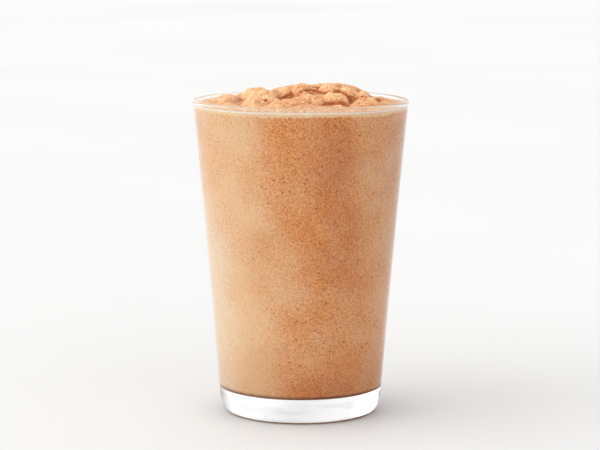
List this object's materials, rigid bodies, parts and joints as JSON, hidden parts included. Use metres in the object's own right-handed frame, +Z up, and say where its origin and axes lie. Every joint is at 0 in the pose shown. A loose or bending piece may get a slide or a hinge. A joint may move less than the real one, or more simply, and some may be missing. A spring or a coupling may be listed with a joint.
{
  "type": "blended iced coffee",
  "caption": "Blended iced coffee filling a clear tapered glass tumbler with a thick base, its lumpy slush heaped a little above the rim.",
  "frame": {"origin": "centre of the glass's foot, on the plane it stands on", "axes": "+Z up the glass's axis to the rim; -Y is the side seen from the front, +X is to the right, where the mound is highest"},
  "size_m": [0.088, 0.088, 0.1349],
  "materials": {
    "glass": "clear, fire-polished soda-lime glass",
    "iced_coffee": "opaque tan coffee slush, fine ice grain with small dark coffee specks, damp sheen on the mound"
  },
  "bodies": {
    "root": {"glass": "glass", "iced_coffee": "iced_coffee"}
  },
  "joints": []
}
